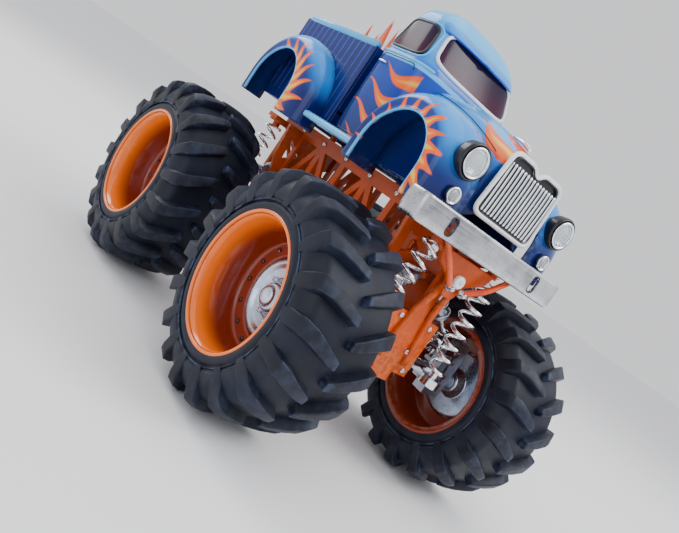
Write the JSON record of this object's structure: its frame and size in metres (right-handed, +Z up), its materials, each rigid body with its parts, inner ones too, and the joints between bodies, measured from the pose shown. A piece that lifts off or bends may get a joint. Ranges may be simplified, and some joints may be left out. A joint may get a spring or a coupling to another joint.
{
  "type": "rc monster truck",
  "caption": "Radio-controlled monster truck: retro pickup body on a trussed frame with link-and-coil suspension, rack steering and oversized lugged tyres.",
  "frame": {"origin": "on the floor, midway between the axles and between the wheels", "axes": "+Z up, the nose points to -Y, +X is the truck's left"},
  "size_m": [0.272, 0.3794, 0.319],
  "materials": {
    "tyre_rubber": "matt moulded rubber",
    "orange_rim": "bright moulded orange",
    "hub_metal": "satin",
    "silver_tube": "polished",
    "cast_metal": "satin cast",
    "damper_metal": "satin",
    "polished_rod": "polished",
    "spring_chrome": "polished wire",
    "steel": "ground",
    "orange_frame": "powder coat",
    "black_plastic": "fine texture",
    "motor_can": "plated",
    "brass": "machined",
    "battery_wrap": "shrink wrap",
    "bumper_metal": "brushed",
    "blue_paint": "gloss two-tone blue",
    "dark_glass": "smoked clear plastic",
    "chrome_trim": "bright",
    "lamp_glass": "clear lens",
    "orange_flame": "moulded translucent orange",
    "white_plastic": "plain"
  },
  "bodies": {
    "chassis": {"chassis_frame": "orange_frame", "gear_case": "black_plastic", "motor": "motor_can", "steering_servo": "black_plastic", "battery_pack": "battery_wrap", "speed_controller": "black_plastic", "bumper": "bumper_metal", "spring_front_left": "spring_chrome", "spring_front_right": "spring_chrome", "spring_rear_left": "spring_chrome", "spring_rear_right": "spring_chrome"},
    "lower_arm_front_left": {"lower_arm_front_left": "silver_tube"},
    "upper_arm_front_left": {"upper_arm_front_left": "silver_tube"},
    "carrier_front_left": {"carrier_front_left": "cast_metal"},
    "wheel_front_left": {"tyre_front_left": "tyre_rubber", "rim_front_left": "orange_rim", "hub_front_left": "hub_metal"},
    "knuckle_front_left": {"knuckle_front_left": "cast_metal"},
    "damper_body_front_left": {"damper_body_front_left": "damper_metal"},
    "damper_rod_front_left": {"damper_rod_front_left": "polished_rod"},
    "lower_arm_front_right": {"lower_arm_front_right": "silver_tube"},
    "upper_arm_front_right": {"upper_arm_front_right": "silver_tube"},
    "carrier_front_right": {"carrier_front_right": "cast_metal"},
    "wheel_front_right": {"tyre_front_right": "tyre_rubber", "rim_front_right": "orange_rim", "hub_front_right": "hub_metal"},
    "knuckle_front_right": {"knuckle_front_right": "cast_metal"},
    "damper_body_front_right": {"damper_body_front_right": "damper_metal"},
    "damper_rod_front_right": {"damper_rod_front_right": "polished_rod"},
    "lower_arm_rear_left": {"lower_arm_rear_left": "silver_tube"},
    "upper_arm_rear_left": {"upper_arm_rear_left": "silver_tube"},
    "upright_rear_left": {"upright_rear_left": "cast_metal"},
    "wheel_rear_left": {"tyre_rear_left": "tyre_rubber", "rim_rear_left": "orange_rim", "hub_rear_left": "hub_metal"},
    "damper_body_rear_left": {"damper_body_rear_left": "damper_metal"},
    "damper_rod_rear_left": {"damper_rod_rear_left": "polished_rod"},
    "lower_arm_rear_right": {"lower_arm_rear_right": "silver_tube"},
    "upper_arm_rear_right": {"upper_arm_rear_right": "silver_tube"},
    "upright_rear_right": {"upright_rear_right": "cast_metal"},
    "wheel_rear_right": {"tyre_rear_right": "tyre_rubber", "rim_rear_right": "orange_rim", "hub_rear_right": "hub_metal"},
    "damper_body_rear_right": {"damper_body_rear_right": "damper_metal"},
    "damper_rod_rear_right": {"damper_rod_rear_right": "polished_rod"},
    "drive_shaft_left": {"drive_shaft_left": "steel"},
    "drive_shaft_right": {"drive_shaft_right": "steel"},
    "output_shaft": {"output_shaft": "steel"},
    "spur_gear": {"spur_gear": "steel"},
    "motor_pinion": {"motor_pinion": "brass"},
    "steering_rack": {"steering_rack": "steel"},
    "servo_horn": {"servo_horn": "black_plastic"},
    "tie_rod_left": {"tie_rod_left": "steel"},
    "tie_rod_right": {"tie_rod_right": "steel"},
    "body": {"body_shell": "blue_paint", "window_glass": "dark_glass", "grille": "chrome_trim", "lamps": "lamp_glass", "flame_ornament": "orange_flame"},
    "power_switch": {"power_switch": "white_plastic"}
  },
  "joints": [
    {"name": "suspension_front_left", "type": "hinge", "parent": "chassis", "child": "lower_arm_front_left", "pos_m": [0.016, -0.109, 0.08], "axis": [0, -1, 0], "range_deg": [-10, 9], "stiffness_Nm_per_rad": 3, "springref_deg": -11.46, "deforming": ["spring_front_left"]},
    {"name": "upper_link_front_left", "type": "hinge", "parent": "chassis", "child": "upper_arm_front_left", "pos_m": [0.016, -0.109, 0.104], "axis": [0, -1, 0], "range_deg": [-10.5, 9.5]},
    {"name": "carrier_hinge_front_left", "type": "hinge", "parent": "lower_arm_front_left", "child": "carrier_front_left", "pos_m": [0.064, -0.109, 0.08], "axis": [0, -1, 0], "range_deg": [-9.5, 10.5]},
    {"name": "steering_front_left", "type": "hinge", "parent": "carrier_front_left", "child": "knuckle_front_left", "pos_m": [0.074, -0.109, 0.08], "axis": [0, 0, 1], "range_deg": [-15.5, 15.5]},
    {"name": "wheel_spin_front_left", "type": "hinge", "parent": "knuckle_front_left", "child": "wheel_front_left", "pos_m": [0.1, -0.109, 0.08], "axis": [1, 0, 0], "continuous": true},
    {"name": "damper_swing_front_left", "type": "hinge", "parent": "chassis", "child": "damper_body_front_left", "pos_m": [0.01, -0.109, 0.142], "axis": [0, -1, 0], "range_deg": [-5.19, 5.19]},
    {"name": "damper_stroke_front_left", "type": "slide", "parent": "damper_body_front_left", "child": "damper_rod_front_left", "axis": [0.7904, 0, -0.6126], "range_m": [-0.005, 0.005]},
    {"name": "suspension_front_right", "type": "hinge", "parent": "chassis", "child": "lower_arm_front_right", "pos_m": [-0.016, -0.109, 0.08], "axis": [0, 1, 0], "range_deg": [-10, 9], "stiffness_Nm_per_rad": 3, "springref_deg": -11.46, "deforming": ["spring_front_right"]},
    {"name": "upper_link_front_right", "type": "hinge", "parent": "chassis", "child": "upper_arm_front_right", "pos_m": [-0.016, -0.109, 0.104], "axis": [0, 1, 0], "range_deg": [-10.5, 9.5]},
    {"name": "carrier_hinge_front_right", "type": "hinge", "parent": "lower_arm_front_right", "child": "carrier_front_right", "pos_m": [-0.064, -0.109, 0.08], "axis": [0, 1, 0], "range_deg": [-9.5, 10.5]},
    {"name": "steering_front_right", "type": "hinge", "parent": "carrier_front_right", "child": "knuckle_front_right", "pos_m": [-0.074, -0.109, 0.08], "axis": [0, 0, 1], "range_deg": [-15.5, 15.5]},
    {"name": "wheel_spin_front_right", "type": "hinge", "parent": "knuckle_front_right", "child": "wheel_front_right", "pos_m": [-0.1, -0.109, 0.08], "axis": [1, 0, 0], "continuous": true},
    {"name": "damper_swing_front_right", "type": "hinge", "parent": "chassis", "child": "damper_body_front_right", "pos_m": [-0.01, -0.109, 0.142], "axis": [0, 1, 0], "range_deg": [-5.19, 5.19]},
    {"name": "damper_stroke_front_right", "type": "slide", "parent": "damper_body_front_right", "child": "damper_rod_front_right", "axis": [-0.7904, 0, -0.6126], "range_m": [-0.005, 0.005]},
    {"name": "suspension_rear_left", "type": "hinge", "parent": "chassis", "child": "lower_arm_rear_left", "pos_m": [0.016, 0.109, 0.08], "axis": [0, -1, 0], "range_deg": [-10, 9], "stiffness_Nm_per_rad": 3, "springref_deg": -11.46, "deforming": ["spring_rear_left"]},
    {"name": "upper_link_rear_left", "type": "hinge", "parent": "chassis", "child": "upper_arm_rear_left", "pos_m": [0.016, 0.109, 0.104], "axis": [0, -1, 0], "range_deg": [-10.5, 9.5]},
    {"name": "carrier_hinge_rear_left", "type": "hinge", "parent": "lower_arm_rear_left", "child": "upright_rear_left", "pos_m": [0.064, 0.109, 0.08], "axis": [0, -1, 0], "range_deg": [-9.5, 10.5]},
    {"name": "wheel_spin_rear_left", "type": "hinge", "parent": "upright_rear_left", "child": "wheel_rear_left", "pos_m": [0.1, 0.109, 0.08], "axis": [1, 0, 0], "continuous": true},
    {"name": "damper_swing_rear_left", "type": "hinge", "parent": "chassis", "child": "damper_body_rear_left", "pos_m": [0.01, 0.109, 0.142], "axis": [0, -1, 0], "range_deg": [-5.19, 5.19]},
    {"name": "damper_stroke_rear_left", "type": "slide", "parent": "damper_body_rear_left", "child": "damper_rod_rear_left", "axis": [0.7904, 0, -0.6126], "range_m": [-0.005, 0.005]},
    {"name": "suspension_rear_right", "type": "hinge", "parent": "chassis", "child": "lower_arm_rear_right", "pos_m": [-0.016, 0.109, 0.08], "axis": [0, 1, 0], "range_deg": [-10, 9], "stiffness_Nm_per_rad": 3, "springref_deg": -11.46, "deforming": ["spring_rear_right"]},
    {"name": "upper_link_rear_right", "type": "hinge", "parent": "chassis", "child": "upper_arm_rear_right", "pos_m": [-0.016, 0.109, 0.104], "axis": [0, 1, 0], "range_deg": [-10.5, 9.5]},
    {"name": "carrier_hinge_rear_right", "type": "hinge", "parent": "lower_arm_rear_right", "child": "upright_rear_right", "pos_m": [-0.064, 0.109, 0.08], "axis": [0, 1, 0], "range_deg": [-9.5, 10.5]},
    {"name": "wheel_spin_rear_right", "type": "hinge", "parent": "upright_rear_right", "child": "wheel_rear_right", "pos_m": [-0.1, 0.109, 0.08], "axis": [1, 0, 0], "continuous": true},
    {"name": "damper_swing_rear_right", "type": "hinge", "parent": "chassis", "child": "damper_body_rear_right", "pos_m": [-0.01, 0.109, 0.142], "axis": [0, 1, 0], "range_deg": [-5.19, 5.19]},
    {"name": "damper_stroke_rear_right", "type": "slide", "parent": "damper_body_rear_right", "child": "damper_rod_rear_right", "axis": [-0.7904, 0, -0.6126], "range_m": [-0.005, 0.005]},
    {"name": "drive_shaft_spin_left", "type": "hinge", "parent": "lower_arm_rear_left", "child": "drive_shaft_left", "pos_m": [0.04, 0.109, 0.08], "axis": [1, 0, 0], "continuous": true},
    {"name": "drive_shaft_spin_right", "type": "hinge", "parent": "lower_arm_rear_right", "child": "drive_shaft_right", "pos_m": [-0.04, 0.109, 0.08], "axis": [1, 0, 0], "continuous": true},
    {"name": "output_spin", "type": "hinge", "parent": "chassis", "child": "output_shaft", "pos_m": [0, 0.109, 0.08], "axis": [1, 0, 0], "continuous": true},
    {"name": "spur_spin", "type": "hinge", "parent": "chassis", "child": "spur_gear", "pos_m": [0, 0.07, 0.08], "axis": [0, 1, 0], "continuous": true},
    {"name": "pinion_spin", "type": "hinge", "parent": "chassis", "child": "motor_pinion", "pos_m": [0, 0.07, 0.1], "axis": [0, 1, 0], "continuous": true},
    {"name": "rack_slide", "type": "slide", "parent": "chassis", "child": "steering_rack", "axis": [1, 0, 0], "range_m": [-0.005, 0.005]},
    {"name": "horn_swing", "type": "hinge", "parent": "chassis", "child": "servo_horn", "pos_m": [0, -0.0886, 0.11], "axis": [0, 1, 0], "range_deg": [-17, 17]},
    {"name": "tie_rod_swing_left", "type": "hinge", "parent": "steering_rack", "child": "tie_rod_left", "pos_m": [0.026, -0.0886, 0.092], "axis": [0, -1, 0], "range_deg": [-10.5, 9.5]},
    {"name": "tie_rod_swing_right", "type": "hinge", "parent": "steering_rack", "child": "tie_rod_right", "pos_m": [-0.026, -0.0886, 0.092], "axis": [0, 1, 0], "range_deg": [-10.5, 9.5]},
    {"name": "body_lift", "type": "slide", "parent": "chassis", "child": "body", "axis": [0, 0, 1], "range_m": [0, 0.1]},
    {"name": "switch_slide", "type": "slide", "parent": "chassis", "child": "power_switch", "axis": [0, 1, 0], "range_m": [0, 0.004]}
  ],
  "couplings": [
    {"joint": "upper_link_front_left", "follows": "suspension_front_left", "ratio": 1},
    {"joint": "carrier_hinge_front_left", "follows": "suspension_front_left", "ratio": -1},
    {"joint": "steering_front_left", "follows": "rack_slide", "rad_per_m": -49.02},
    {"joint": "damper_swing_front_left", "follows": "suspension_front_left", "ratio": 0.4467},
    {"joint": "damper_stroke_front_left", "follows": "suspension_front_left", "m_per_rad": -0.026178},
    {"joint": "upper_link_front_right", "follows": "suspension_front_right", "ratio": 1},
    {"joint": "carrier_hinge_front_right", "follows": "suspension_front_right", "ratio": -1},
    {"joint": "steering_front_right", "follows": "rack_slide", "rad_per_m": -49.02},
    {"joint": "damper_swing_front_right", "follows": "suspension_front_right", "ratio": 0.4467},
    {"joint": "damper_stroke_front_right", "follows": "suspension_front_right", "m_per_rad": -0.026178},
    {"joint": "upper_link_rear_left", "follows": "suspension_rear_left", "ratio": 1},
    {"joint": "carrier_hinge_rear_left", "follows": "suspension_rear_left", "ratio": -1},
    {"joint": "damper_swing_rear_left", "follows": "suspension_rear_left", "ratio": 0.4467},
    {"joint": "damper_stroke_rear_left", "follows": "suspension_rear_left", "m_per_rad": -0.026178},
    {"joint": "upper_link_rear_right", "follows": "suspension_rear_right", "ratio": 1},
    {"joint": "carrier_hinge_rear_right", "follows": "suspension_rear_right", "ratio": -1},
    {"joint": "wheel_spin_rear_right", "follows": "wheel_spin_rear_left", "ratio": 1},
    {"joint": "damper_swing_rear_right", "follows": "suspension_rear_right", "ratio": 0.4467},
    {"joint": "damper_stroke_rear_right", "follows": "suspension_rear_right", "m_per_rad": -0.026178},
    {"joint": "drive_shaft_spin_left", "follows": "wheel_spin_rear_left", "ratio": 1},
    {"joint": "drive_shaft_spin_right", "follows": "wheel_spin_rear_left", "ratio": 1},
    {"joint": "output_spin", "follows": "wheel_spin_rear_left", "ratio": 1},
    {"joint": "spur_spin", "follows": "wheel_spin_rear_left", "ratio": 2.5},
    {"joint": "pinion_spin", "follows": "wheel_spin_rear_left", "ratio": -7.5},
    {"joint": "horn_swing", "follows": "rack_slide", "rad_per_m": -55.556},
    {"joint": "tie_rod_swing_left", "follows": "suspension_front_left", "ratio": 1},
    {"joint": "tie_rod_swing_right", "follows": "suspension_front_right", "ratio": 1}
  ]
}
